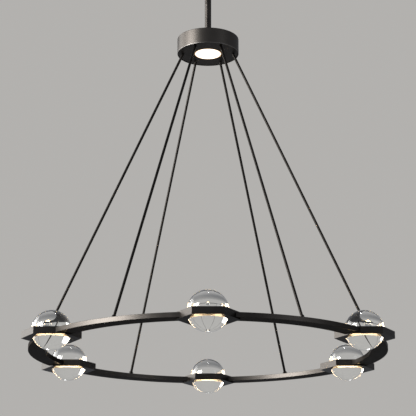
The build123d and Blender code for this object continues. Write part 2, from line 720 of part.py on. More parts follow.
def mounting_crossbar():
    strap = block(CROSSBAR_LENGTH, CROSSBAR_WIDTH, -CROSSBAR_THICKNESS, 0)
    strap = fillet(strap.edges().filter_by(Axis.Z), CROSSBAR_CORNER)
    strap -= rod(CROSSBAR_CENTRE_HOLE, -CROSSBAR_THICKNESS, 0)
    for side in (-0.5, 0.5):
        strap -= rod(CEILING_SCREW_HOLE, -CROSSBAR_THICKNESS, 0, side * CEILING_SCREW_SPACING)
        strap -= rod(STUD_RADIUS + THREAD_GAP, -CROSSBAR_THICKNESS, 0, side * STUD_SPACING)
    strap -= rod(M4_SCREW[0] + THREAD_GAP, -CROSSBAR_THICKNESS, 0, EARTH_SCREW_X, EARTH_SCREW_Y)
    return strap


def canopy_studs():
    return [place * rod(STUD_RADIUS, CANOPY_UNDERSIDE - STUD_REACH, 0) for place in stud_places()]


def canopy_cap_nuts():
    """Closed nuts under the canopy."""
    body = hexagon_prism(CAP_NUT_FLATS, -CAP_NUT_HEIGHT / 2, 0)
    body += rod(CAP_NUT_DOME_RADIUS, -CAP_NUT_HEIGHT, 0)
    body = fillet(body.edges().group_by(Axis.Z)[0], CAP_NUT_DOME_ROUNDING)
    body -= rod(STUD_RADIUS + THREAD_GAP, -STUD_REACH, 0)
    return [place * body for place in stud_places(CANOPY_UNDERSIDE)]


def earth_screw():
    place = Pos(EARTH_SCREW_X, EARTH_SCREW_Y, -CROSSBAR_THICKNESS) * Rot(180, 0, 0)
    return place * pan_screw(M4_SCREW, CROSSBAR_THICKNESS)


# ---- all nodes ----

def numbered(name, pieces):
    return {f"{name}_{i + 1}": piece for i, piece in enumerate(pieces)}


def build():
    nodes = {}
    nodes.update(numbered("ring_bar", [RING * p for p in all_round(ring_bar())]))
    nodes.update(numbered("orb_holder", [RING * p for p in all_round(orb_holder())]))
    nodes.update(numbered("crystal_orb", [RING * p for p in all_round(orb_ball())]))
    nodes.update(numbered("support_rod", [RING * p for p in all_round(support_rod())]))
    ring_pieces = {
        "holder_covers": [holder_cover()],
        "cover_screws": cover_screws(),
        "bar_screws": bar_screws(),
        "light_strips": [light_strip()],
        "light_diffusers": [light_diffuser()],
        "orb_seat_rings": [seat_ring()],
        "rod_feet": [rod_foot()],
        "foot_nuts": [foot_nut()],
        "lead_splices": [lead_splice()],
        "ring_leads": ring_leads(),
        "rod_leads": [rod_lead()],
    }
    for name, pieces in ring_pieces.items():
        nodes[name] = [RING * copy for piece in pieces for copy in all_round(piece)]
    nodes["rod_sockets"] = [HUB * p for p in all_round(rod_socket())]
    hub_pieces = {
        "hub_shell": [hub_shell()],
        "hub_base": [hub_base()],
        "hub_screws": hub_screws(),
        "small_hub_screws": small_hub_screws(),
        "downlight_lens": [downlight_lens()],
        "downlight_housing": [downlight_housing()],
        "downlight_board": [downlight_board()],
        "driver": [driver()],
        "terminal_block": [terminal_block()],
        "stem": [stem()],
        "stem_bushings": stem_bushings(),
        "stem_nipples": stem_nipples(),
        "stem_locknuts": stem_locknuts(),
        "stem_washer": [stem_washer()],
        "supply_lead": [supply_lead()],
        "lead_connector": [lead_connector()],
    }
    for name, pieces in hub_pieces.items():
        nodes[name] = [HUB * p for p in pieces]
    nodes["swivel_ball"] = SWIVEL * swivel_ball()
    nodes["swivel_seat"] = SWIVEL * swivel_seat()
    nodes["ceiling_canopy"] = ceiling_canopy()
    nodes["mounting_crossbar"] = mounting_crossbar()
    nodes["canopy_studs"] = canopy_studs()
    nodes["canopy_cap_nuts"] = canopy_cap_nuts()
    nodes["earth_screw"] = earth_screw()
    return nodes


def write(nodes):
    os.makedirs("parts", exist_ok=True)
    for name, piece in nodes.items():
        solids = [s for p in (piece if isinstance(piece, list) else [piece]) for s in p.solids()]
        export_step(solids[0] if len(solids) == 1 else Compound(solids), f"parts/{name}.step")


write(build())
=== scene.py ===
"""Orb chandelier: the finished looks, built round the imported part. Metres, +Z up, origin on the ceiling."""

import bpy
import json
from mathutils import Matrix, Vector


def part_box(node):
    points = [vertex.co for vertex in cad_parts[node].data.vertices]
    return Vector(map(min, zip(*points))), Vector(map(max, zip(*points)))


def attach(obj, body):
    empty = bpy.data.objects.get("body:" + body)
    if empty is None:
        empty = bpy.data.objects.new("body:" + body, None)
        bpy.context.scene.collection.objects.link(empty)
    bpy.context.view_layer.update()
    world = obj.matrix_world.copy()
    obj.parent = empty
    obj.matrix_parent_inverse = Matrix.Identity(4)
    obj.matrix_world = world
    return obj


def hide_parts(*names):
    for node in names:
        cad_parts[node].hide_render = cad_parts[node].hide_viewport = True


bl_info = {
    "name": "Orb Chandelier",
    "version": (1, 0, 0),
    "blender": (4, 5, 0),
    "location": "3D View > Sidebar > Chandelier",
    "description": "Models and finishes the orb chandelier round its packed frame",
    "category": "Object",
}

import json
import math

import bpy
from bpy.props import FloatProperty, FloatVectorProperty, IntProperty, PointerProperty
from mathutils import Matrix, Vector

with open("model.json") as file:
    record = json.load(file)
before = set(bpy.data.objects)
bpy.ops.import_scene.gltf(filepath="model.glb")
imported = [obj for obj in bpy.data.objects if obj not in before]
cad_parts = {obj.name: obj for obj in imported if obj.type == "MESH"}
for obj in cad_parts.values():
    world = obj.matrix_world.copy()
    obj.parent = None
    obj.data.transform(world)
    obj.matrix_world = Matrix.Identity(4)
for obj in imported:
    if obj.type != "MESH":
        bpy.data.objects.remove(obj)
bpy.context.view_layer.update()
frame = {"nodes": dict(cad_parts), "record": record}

# ---- places that the frame gives ----

ORB_LOW, ORB_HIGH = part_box("crystal_orb_1")
ORB_CENTRE = (ORB_LOW + ORB_HIGH) / 2
RING_RADIUS = -ORB_CENTRE.y
HOLDER_LOW, HOLDER_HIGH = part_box("orb_holder_1")
BAR_LOW, BAR_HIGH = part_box("ring_bar_1")
HUB_LOW, HUB_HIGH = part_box("hub_shell")
LENS_LOW, LENS_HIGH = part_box("downlight_lens")
STEM_LOW, STEM_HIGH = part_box("stem")
CANOPY_LOW, CANOPY_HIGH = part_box("ceiling_canopy")
BALL_LOW, BALL_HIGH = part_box("swivel_ball")

ORB_COUNT = 6
STEP = math.tau / ORB_COUNT
HEXAGON_TURN = math.radians(30)
COS30 = math.cos(HEXAGON_TURN)

# ---- fixed sizes that several pieces share ----

LEVEL = 1e-5  # heights nearer than this are the same
WELD = 1e-6  # points nearer than this become one
LENS_LEDGE = 0.002  # the lens's flange and the step that it lies on
SEAT_OVERRUN = 0.0001  # how far a screw seat's cutter stands out of the face
SCREW_SIDES = 32
CONE_SIDES = 48
TUBE_SIDES = 64


# ---- sizes and colours that a user would change ----

def length(name, description, default):
    return FloatProperty(name=name, description=description, default=default, min=0.0, unit="LENGTH")


def colour(name, description, default):
    return FloatVectorProperty(
        name=name, description=description, default=default, size=3, min=0.0, max=1.0, subtype="COLOR"
    )


class ChandelierSizes(bpy.types.PropertyGroup):
    """Sizes of the modelled pieces, beyond what the frame gives"""

    orb_radius: length("Orb radius", "Radius of a crystal ball", (ORB_HIGH.x - ORB_LOW.x) / 2)
    orb_gap: length("Orb gap", "Room between a ball and the edge of its hole", 0.0003)
    holder_side: length("Holder side", "Side of a holder's hexagon", 0.075)
    holder_wall: length("Holder wall", "Thickness of a holder's rim", 0.003)
    holder_floor: length("Holder floor", "Thickness of a holder's underside", 0.002)
    cover_seam: length("Cover seam", "Gap between a cover and its holder's rim", 0.00015)
    bar_width: length("Bar width", "Width of a ring bar", 0.044)
    edge_rounding: length("Edge rounding", "Rounding of the ring's edges", 0.0007)
    rod_radius: length("Rod radius", "Radius of a support rod", 0.0035)
    foot_radius: length("Foot radius", "Radius of the collar at a rod's foot", 0.0055)
    foot_length: length("Foot length", "Length of the collar along its rod", 0.009)
    hub_wall: length("Hub wall", "Thickness of the hub's shell", 0.002)
    hub_rounding: length("Hub rounding", "Rounding of the hub's top edge", 0.0012)
    # The hub's lower chamfer carries a painted highlight: a lighter bronze along that edge.
    hub_chamfer: length("Hub chamfer", "Rubbed chamfer round the hub's lower edge", 0.0011)
    lens_radius: length("Lens radius", "Radius of the downlight's lens", 0.038)
    lens_dome: length("Lens dome", "How far the lens stands down at its middle", 0.0007)
    stem_wall: length("Stem wall", "Thickness of the stem's wall", 0.0015)
    canopy_wall: length("Canopy wall", "Thickness of the canopy's wall", 0.0015)
    canopy_rounding: length("Canopy rounding", "Rounding of the canopy's lower edge", 0.003)
    arc_steps: IntProperty(name="Arc steps", description="Steps along a ring bar", default=64, min=8)
    round_sides: IntProperty(name="Round sides", description="Sides of a large round piece", default=128, min=24)


class ChandelierFinish(bpy.types.PropertyGroup):
    """Colours and lights of the finishes"""

    bronze: colour("Bronze", "Blackened bronze of the ring, rods and hub", (0.037, 0.034, 0.031))
    rubbed: colour("Rubbed bronze", "Lighter bronze where the black is thin", (0.054, 0.049, 0.045))
    crystal: colour("Crystal", "Tint of the crystal balls", (0.975, 0.985, 0.980))
    glow: colour("Glow", "Warm light round the balls", (1.0, 0.72, 0.42))
    glow_strength: FloatProperty(name="Glow strength", description="Strength of the warm light", default=3.0)
    seat_strength: FloatProperty(
        name="Seat strength", description="Strength of the light in the clear seat", default=24.0
    )
    lens_glow: colour("Lens glow", "Light of the downlight's lens", (1.0, 0.90, 0.74))
    lens_strength: FloatProperty(name="Lens strength", description="Strength of the downlight", default=3.2)


# ---- modelling helpers ----

def settle():
    """Back to object mode, with nothing selected."""
    if bpy.context.object and bpy.context.object.mode != "OBJECT":
        bpy.ops.object.mode_set(mode="OBJECT")
    bpy.ops.object.select_all(action="DESELECT")


def take(piece):
    """Makes a piece the only one selected."""
    settle()
    piece.select_set(True)
    bpy.context.view_layer.objects.active = piece
    return piece


def placed(name):
    """Names the new primitive and puts its place into its mesh."""
    piece = bpy.context.object
    piece.name = piece.data.name = name
    bpy.ops.object.transform_apply(location=True, rotation=True, scale=True)
    return piece


def prism(name, corner_radius, low, high, centre=(0.0, 0.0), sides=6, turn=HEXAGON_TURN):
    """Upright prism or cylinder. A hexagon has two of its corners on the X axis."""
    settle()
    bpy.ops.mesh.primitive_cylinder_add(
        vertices=sides, radius=corner_radius, depth=high - low,
        location=(*centre, (low + high) / 2), rotation=(0, 0, turn),
    )
    return placed(name)


def screw_seats(seats, shape, top):
    """Cutters for flat-head screws: a cone's low and high radius and its depth under the top face."""
    low_radius, high_radius, depth = shape
    low, high = top - depth, top + SEAT_OVERRUN
    cones = []
    for seat in seats:
        settle()
        bpy.ops.mesh.primitive_cone_add(
            vertices=CONE_SIDES, radius1=low_radius, radius2=high_radius, depth=high - low,
            location=(*seat.xy, (low + high) / 2),
        )
        cones.append(placed("seat"))
    return cones


def lathe(name, steps, sides=0, closed=True):
    """Turned piece: a circle drawn from step to step, each a radius and a height."""
    sides = sides or bpy.context.scene.chandelier_sizes.round_sides
    settle()
    radius, height = steps[0]
    bpy.ops.mesh.primitive_circle_add(vertices=sides, radius=radius, location=(0, 0, height))
    bpy.ops.object.mode_set(mode="EDIT")
    bpy.ops.mesh.select_all(action="SELECT")
    for next_radius, next_height in steps[1:] + (steps[:1] if closed else []):
        bpy.ops.mesh.extrude_region_move(TRANSFORM_OT_translate={"value": (0, 0, next_height - height)})
        share = next_radius / radius
        bpy.ops.transform.resize(value=(share, share, 1), center_override=(0, 0, next_height))
        radius, height = next_radius, next_height
    bpy.ops.mesh.select_all(action="SELECT")
    bpy.ops.mesh.remove_doubles(threshold=WELD)
    if not closed:
        bpy.ops.mesh.fill_holes(sides=0)
    bpy.ops.mesh.normals_make_consistent(inside=False)
    bpy.ops.object.mode_set(mode="OBJECT")
    return placed(name)


def modify(piece, kind, **settings):
    """Adds a modifier and applies it."""
    take(piece)
    modifier = piece.modifiers.new(kind.title(), kind)
    for key, value in settings.items():
        setattr(modifier, key, value)
    bpy.ops.object.modifier_apply(modifier=modifier.name)
    return piece


def cut(piece, *cutters):
    """Takes the cutters away from a piece."""
    for cutter in cutters:
        modify(piece, "BOOLEAN", operation="DIFFERENCE", solver="EXACT", object=cutter)
        bpy.data.objects.remove(cutter)
    return piece


def soften(piece, width, segments=3, angle=40):
    """Rounds the sharp edges, and keeps the flats flat."""
    return modify(
        piece, "BEVEL", width=width, segments=segments, limit_method="ANGLE",
        angle_limit=math.radians(angle), use_clamp_overlap=True,
    )


def pick_edges(piece, test):
    """Edit mode, with the edges whose two ends pass the test selected."""
    take(piece)
    bpy.ops.object.mode_set(mode="EDIT")
    bpy.ops.mesh.select_mode(type="EDGE")
    bpy.ops.mesh.select_all(action="DESELECT")
    bpy.ops.object.mode_set(mode="OBJECT")
    points = piece.data.vertices
    for edge in piece.data.edges:
        edge.select = all(test(points[i].co) for i in edge.vertices)
    bpy.ops.object.mode_set(mode="EDIT")


def copies_round(piece, name):
    """Six copies of a piece round the object, each with its own mesh. The piece itself goes."""
    pieces = []
    for i in range(ORB_COUNT):
        take(piece)
        bpy.ops.object.duplicate(linked=False)
        copy = bpy.context.object
        copy.rotation_euler.z = STEP * i
        copy.name = copy.data.name = f"{name}_{i + 1}"
        bpy.ops.object.transform_apply(location=False, rotation=True, scale=False)
        pieces.append(copy)
    bpy.data.objects.remove(piece)
    return pieces


def joined(name, pieces):
    """One piece of several, as a group of like fasteners."""
    settle()
    for piece in pieces:
        piece.select_set(True)
    bpy.context.view_layer.objects.active = pieces[0]
    bpy.ops.object.join()
    piece = bpy.context.object
    piece.name = piece.data.name = name
    return piece


def copies_at(piece, name, places):
    """Copies of a piece modelled at the origin, one at each place, joined to one. The piece itself goes."""
    pieces = []
    for place in places:
        take(piece)
        bpy.ops.object.duplicate(linked=False)
        bpy.context.object.location = place
        bpy.ops.object.transform_apply(location=True, rotation=False, scale=False)
        pieces.append(bpy.context.object)
    bpy.data.objects.remove(piece)
    return joined(name, pieces)


def complete(piece, body, finish, slot, *nodes, smooth_angle=35):
    """Shades and finishes a piece, puts it on its body, and hides the CAD nodes that it stands for."""
    take(piece)
    bpy.ops.object.shade_smooth_by_angle(angle=math.radians(smooth_angle))
    modify(piece, "WEIGHTED_NORMAL", keep_sharp=True)
    if not piece.data.materials:
        piece.data.materials.append(finish)
    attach(piece, body)
    if nodes:
        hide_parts(*nodes)
    return piece


def solids_of(node, spread):
    """Middle and top of each separate solid of a group node: its vertices lie within the spread."""
    groups = []
    for vertex in frame["nodes"][node].data.vertices:
        point = vertex.co
        for group in groups:
            if (point.xy - group[0].xy).length < spread:
                group.append(point)
                break
        else:
            groups.append([point])
    found = []
    for group in groups:
        low = Vector(map(min, zip(*group)))
        high = Vector(map(max, zip(*group)))
        found.append(Vector(((low.x + high.x) / 2, (low.y + high.y) / 2, high.z)))
    return found


def rod_ends(node):
    """The two ends of a straight rod's axis."""
    points = [vertex.co for vertex in frame["nodes"][node].data.vertices]
    middle = sum(p.z for p in points) / len(points)
    ends = []
    for group in ([p for p in points if p.z < middle], [p for p in points if p.z >= middle]):
        ends.append(sum(group, Vector()) / len(group))
    return ends


# ---- finishes ----

class Finish:
    """A procedural material in object coordinates, built node by node."""

    def __init__(self, name, **sockets):
        self.material = bpy.data.materials.new(name)
        self.material.use_nodes = True
        self.tree = self.material.node_tree
        self.shader = self.tree.nodes["Principled BSDF"]
        self.place = self.add("ShaderNodeTexCoord").outputs["Object"]
        for socket, value in sockets.items():
            self.shader.inputs[socket.replace("_", " ")].default_value = value

    def add(self, kind, inputs=None, **settings):
        node = self.tree.nodes.new(kind)
        for key, value in settings.items():
            setattr(node, key, value)
        for socket, value in (inputs or {}).items():
            if isinstance(value, bpy.types.NodeSocket):
                self.tree.links.new(value, node.inputs[socket])
            else:
                node.inputs[socket].default_value = value
        return node

    def give(self, socket, value):
        self.tree.links.new(value, self.shader.inputs[socket])

    def stretched(self, x, y, z):
        return self.add("ShaderNodeMapping", {"Vector": self.place, "Scale": (x, y, z)}).outputs["Vector"]

    def noise(self, scale, detail=3.0, roughness=0.5, where=None):
        inputs = {"Vector": where or self.place, "Scale": scale, "Detail": detail, "Roughness": roughness}
        return self.add("ShaderNodeTexNoise", inputs).outputs["Fac"]

    def spread(self, value, low, high, from_low=0.3, from_high=0.7):
        inputs = {"Value": value, "From Min": from_low, "From Max": from_high, "To Min": low, "To Max": high}
        return self.add("ShaderNodeMapRange", inputs).outputs["Result"]

    def blend(self, share, first, second):
        node = self.add("ShaderNodeMix", {"Factor": share}, data_type="RGBA")
        sockets = [socket for socket in node.inputs if socket.type == "RGBA"]
        for socket, value in zip(sockets, (first, second)):
            socket.default_value = (*value, 1.0)
        return next(socket for socket in node.outputs if socket.type == "RGBA")

    def bump(self, height, strength, distance):
        node = self.add("ShaderNodeBump", {"Height": height, "Strength": strength, "Distance": distance})
        self.give("Normal", node.outputs["Normal"])


def shaded(tint, share):
    return tuple(share * c for c in tint)


def bronze(name, dark, rubbed, low_roughness, high_roughness, grain=(1.0, 1.0, 1.0), edge=0.7):
    """Blackened bronze: cloudy patina, fine grain, and roughness that follows both."""
    finish = Finish(name, Metallic=1.0)
    finish.shader.inputs["Specular Tint"].default_value = (edge, edge, edge, 1.0)
    cloud = finish.noise(16.0, 4.0, 0.55)
    fine = finish.noise(900.0, 2.0, 0.6, finish.stretched(*grain))
    finish.give("Base Color", finish.blend(finish.spread(cloud, 0.0, 1.0, 0.35, 0.75), dark, rubbed))
    mixed = finish.add("ShaderNodeMath", {0: cloud, 1: fine}, operation="MULTIPLY").outputs["Value"]
    finish.give("Roughness", finish.spread(mixed, low_roughness, high_roughness, 0.1, 0.45))
    finish.bump(fine, 0.12, 0.0001)
    return finish.material


def plated(name, light, shade, roughness, scale=120.0):
    """Plated, cast or turned metal with a mottled surface."""
    finish = Finish(name, Metallic=1.0)
    cells = finish.add("ShaderNodeTexVoronoi", {"Vector": finish.place, "Scale": scale}).outputs["Color"]
    share = finish.add("ShaderNodeSeparateColor", {"Color": cells}).outputs["Red"]
    finish.give("Base Color", finish.blend(share, light, shade))
    finish.give("Roughness", finish.spread(share, roughness, roughness + 0.12, 0.0, 1.0))
    finish.bump(finish.noise(600.0), 0.1, 0.0001)
    return finish.material


def moulded(name, light, shade, roughness=0.45):
    """Moulded plastic or rubber with a fine spark-eroded texture."""
    finish = Finish(name)
    grain = finish.noise(1400.0, 2.0)
    finish.give("Base Color", finish.blend(finish.spread(finish.noise(60.0), 0.0, 1.0), light, shade))
    finish.give("Roughness", finish.spread(grain, roughness - 0.06, roughness + 0.1))
    finish.bump(grain, 0.15, 0.00008)
    return finish.material


def crystal(tint):
    """Clear polished crystal with the faintest haze of handling."""
    finish = Finish("crystal", Transmission_Weight=1.0, IOR=1.5)
    finish.shader.inputs["Base Color"].default_value = (*tint, 1.0)
    finish.give("Roughness", finish.spread(finish.noise(45.0, 5.0, 0.65), 0.0, 0.008, 0.5, 0.75))
    return finish.material


def lit(name, glow, strength, dim_share):
    """Opal or clear plastic that carries light, a little uneven: its dim parts have that share of the strength."""
    base = (1.0, 0.95, 0.88)
    finish = Finish(name, Roughness=0.4)
    cloud = finish.noise(70.0, 2.0)
    finish.give("Base Color", finish.blend(cloud, base, shaded(base, 0.94)))
    finish.shader.inputs["Emission Color"].default_value = (*glow, 1.0)
    finish.give("Emission Strength", finish.spread(cloud, dim_share * strength, strength))
    return finish.material


def downlight_opal(glow, strength, radius):
    """The downlight's lens: brightest in the middle, softer towards its rim."""
    finish = Finish("downlight_opal", Roughness=0.35)
    flat = finish.stretched(1.0, 1.0, 0.0)
    reach = finish.add("ShaderNodeVectorMath", {0: flat}, operation="LENGTH").outputs["Value"]
    share = finish.spread(reach, 0.0, 1.0, 0.86 * radius, 0.97 * radius)
    finish.give("Base Color", finish.blend(share, (1.0, 0.98, 0.94), (0.20, 0.13, 0.07)))
    finish.give("Emission Color", finish.blend(share, glow, (glow[0], glow[1] * 0.66, glow[2] * 0.36)))
    finish.give("Emission Strength", finish.spread(share, strength, 0.12, 0.0, 1.0))
    return finish.material


def light_board():
    """White board with small yellow light chips."""
    finish = Finish("board", Roughness=0.5)
    cells = finish.add("ShaderNodeTexVoronoi", {"Vector": finish.place, "Scale": 160.0})
    chip = finish.spread(cells.outputs["Distance"], 1.0, 0.0, 0.28, 0.32)
    finish.give("Base Color", finish.blend(chip, (0.86, 0.86, 0.84), (0.9, 0.72, 0.2)))
    return finish.material


def all_finishes(look):
    """The material of each of the record's slots."""
    dark, rubbed, glow = tuple(look.bronze), tuple(look.rubbed), tuple(look.glow)
    # Painted light: the hub and canopy use the same bronze made lighter, so their highlights come out brighter.
    hub_dark_lit, hub_rubbed_lit = shaded(dark, 1.45), shaded(rubbed, 1.25)
    # Painted shade: the rods use the same bronze made darker, which takes the highlights off them.
    rod_dark_shaded, rod_rubbed_shaded = shaded(dark, 0.4), shaded(rubbed, 0.4)
    return {
        "ring_metal": bronze("ring_bronze", dark, rubbed, 0.30, 0.46, edge=0.35),
        "holder_metal": bronze("holder_bronze", dark, rubbed, 0.24, 0.40),
        "holder_underside": bronze("holder_underside_bronze", dark, rubbed, 0.04, 0.09, edge=0.4),
        "hub_metal": bronze("lit_hub_bronze", hub_dark_lit, hub_rubbed_lit, 0.36, 0.46),
        # Painted highlight: a lighter bronze for the line of light along the hub's lower chamfer.
        "rim_highlight": bronze("rim_highlight", (0.13, 0.125, 0.12), (0.20, 0.19, 0.18), 0.34, 0.46),
        "rod_metal": bronze("rod_bronze", dark, rubbed, 0.26, 0.40, (1.0, 1.0, 0.1)),
        "shaded_rod": bronze("shaded_rod_bronze", rod_dark_shaded, rod_rubbed_shaded, 0.4, 0.55),
        "crystal": crystal(tuple(look.crystal)),
        "warm_light": lit("warm_light", glow, look.glow_strength, 0.7),
        "warm_diffuser": lit("warm_diffuser", glow, look.glow_strength, 0.85),
        "downlight_opal": downlight_opal(
            tuple(look.lens_glow), look.lens_strength, bpy.context.scene.chandelier_sizes.lens_radius
        ),
        "silicone": lit("lit_silicone", glow, look.seat_strength, 0.8),
        "screw_steel": bronze("screw_black", (0.022, 0.020, 0.019), (0.05, 0.045, 0.04), 0.30, 0.45),
        "zinc_steel": plated("zinc_steel", (0.60, 0.60, 0.58), (0.48, 0.49, 0.50), 0.28),
        "cast_aluminium": plated("cast_aluminium", (0.62, 0.62, 0.63), (0.52, 0.52, 0.53), 0.38, scale=60.0),
        "board": light_board(),
        "driver_case": moulded("driver_case", (0.80, 0.80, 0.79), (0.74, 0.74, 0.73)),
        "connector_plastic": moulded("connector_plastic", (0.74, 0.74, 0.72), (0.66, 0.66, 0.64), 0.4),
        "lead_jacket": moulded("lead_jacket", (0.035, 0.035, 0.036), (0.055, 0.055, 0.056), 0.5),
        "nylon": moulded("nylon", (0.03, 0.03, 0.032), (0.05, 0.05, 0.052), 0.4),
        "brass_screw": plated("brass_screw", (0.78, 0.57, 0.24), (0.66, 0.46, 0.18), 0.25),
    }


FINISHES = {}


# ---- fasteners ----

def recess(flats, low, high):
    return prism("recess", flats / 2 / COS30, low, high)


def flush_screw(name, head_radius, head_height, shank_radius, reach):
    """Flat-head screw with a hexagonal recess, its head's top at the origin."""
    steps = [
        (shank_radius, -reach), (shank_radius, -head_height), (head_radius, -0.1 * head_height), (head_radius, 0.0)
    ]
    screw = lathe(name, steps, sides=SCREW_SIDES, closed=False)
    cut(screw, recess(0.9 * head_radius, -0.6 * head_height, head_height))
    return soften(screw, 0.00015, 2)


def domed_screw(name, head_radius, head_height, shank_radius, reach):
    """Button-head screw with a hexagonal recess, its seat at the origin."""
    arc = [math.radians(a) for a in (15, 35, 55, 72)]
    dome = [(head_radius * math.cos(a), head_height * math.sin(a)) for a in arc]
    steps = [(shank_radius, -reach), (shank_radius, 0.0), (head_radius, 0.0)] + dome
    screw = lathe(name, steps, sides=SCREW_SIDES, closed=False)
    cut(screw, recess(0.8 * head_radius, 0.35 * head_height, 2 * head_height))
    return soften(screw, 0.0001, 2, 50)


# ---- one operator for each piece or group of like pieces ----

class CHANDELIER_OT_finishes(bpy.types.Operator):
    """Makes the finishes and gives each CAD node its own"""

    bl_idname = "chandelier.finishes"
    bl_label = "Finishes"

    def execute(self, context):
        FINISHES.update(all_finishes(context.scene.chandelier_finish))
        for row in frame["record"]["subparts"]:
            mesh = frame["nodes"][row["node"]].data
            mesh.materials.clear()
            mesh.materials.append(FINISHES[row["material_slot"]])
        return {"FINISHED"}


class CHANDELIER_OT_orbs(bpy.types.Operator):
    """Six solid crystal balls, each pressed to a sphere from a divided cube"""

    bl_idname = "chandelier.orbs"
    bl_label = "Crystal orbs"

    divisions = 6

    def execute(self, context):
        radius = context.scene.chandelier_sizes.orb_radius
        settle()
        bpy.ops.mesh.primitive_cube_add(size=2 * radius, location=ORB_CENTRE)
        orb = bpy.context.object
        modify(orb, "SUBSURF", levels=self.divisions, render_levels=self.divisions)
        modify(orb, "CAST", cast_type="SPHERE", factor=1.0, use_radius_as_size=False, size=radius)
        placed("crystal_ball")
        for i, ball in enumerate(copies_round(orb, "crystal_ball"), 1):
            take(ball)
            bpy.ops.object.shade_smooth()
            ball.data.materials.append(FINISHES["crystal"])
            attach(ball, "fixture")
            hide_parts(f"crystal_orb_{i}")
        return {"FINISHED"}


class CHANDELIER_OT_holders(bpy.types.Operator):
    """Six hexagonal orb holders: rim, glossy underside and a round seat hole"""

    bl_idname = "chandelier.holders"
    bl_label = "Orb holders"

    seat_rings = 64
    rounding_share = 0.8
    underside_normal = -0.99

    def execute(self, context):
        sizes = context.scene.chandelier_sizes
        centre = ORB_CENTRE.xy
        low, high = HOLDER_LOW.z, HOLDER_HIGH.z
        holder = prism("holder_shell", sizes.holder_side, low, high, centre)
        inner = sizes.holder_side - sizes.holder_wall / COS30
        hollow = prism("hollow", inner, low + sizes.holder_floor, high + sizes.holder_wall, centre)
        settle()
        bpy.ops.mesh.primitive_uv_sphere_add(
            segments=sizes.round_sides, ring_count=self.seat_rings,
            radius=sizes.orb_radius + sizes.orb_gap, location=ORB_CENTRE,
        )
        cut(holder, hollow, placed("seat"))
        soften(holder, sizes.edge_rounding * self.rounding_share)
        holder.data.materials.append(FINISHES["holder_metal"])
        holder.data.materials.append(FINISHES["holder_underside"])
        for face in holder.data.polygons:
            face.material_index = int(face.normal.z < self.underside_normal)
        for i, shell in enumerate(copies_round(holder, "holder_shell"), 1):
            complete(shell, "fixture", None, "holder_metal", f"orb_holder_{i}")
        return {"FINISHED"}


class CHANDELIER_OT_covers(bpy.types.Operator):
    """The plates over the holders, with their screws"""

    bl_idname = "chandelier.covers"
    bl_label = "Holder covers"

    hole_gap = 0.0004
    overrun = 0.001
    rounding = 0.00025
    screw_spread = 0.01
    screw_seat = (0.0014, 0.0031, 0.0019)  # low radius, high radius, depth
    screw_sizes = (0.0028, 0.0018, 0.00145, 0.006)  # head radius, head height, shank radius, length

    def execute(self, context):
        sizes = context.scene.chandelier_sizes
        centre = ORB_CENTRE.xy
        low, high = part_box("holder_covers")[0].z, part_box("holder_covers")[1].z
        inset = (sizes.holder_wall + sizes.cover_seam) / COS30
        cover = prism("cover_plate", sizes.holder_side - inset, low, high, centre)
        hole_radius = sizes.orb_radius + self.hole_gap
        hole = prism("hole", hole_radius, low - self.overrun, high + self.overrun, centre, sizes.round_sides)
        seats = solids_of("cover_screws", self.screw_spread)
        near = [s for s in seats if (s.xy - centre).length < sizes.holder_side]
        cut(cover, hole, *screw_seats(near, self.screw_seat, high))
        soften(cover, self.rounding, 2)
        covers = copies_round(cover, "cover_plate")
        complete(covers[0], "fixture", FINISHES["holder_metal"], "holder_metal", "holder_covers")
        for plate in covers[1:]:
            complete(plate, "fixture", FINISHES["holder_metal"], "holder_metal")
        screw = flush_screw("cover_screw_heads", *self.screw_sizes)
        screws = copies_at(screw, "cover_screw_heads", seats)
        complete(screws, "fixture", FINISHES["screw_steel"], "screw_steel", "cover_screws")
        return {"FINISHED"}


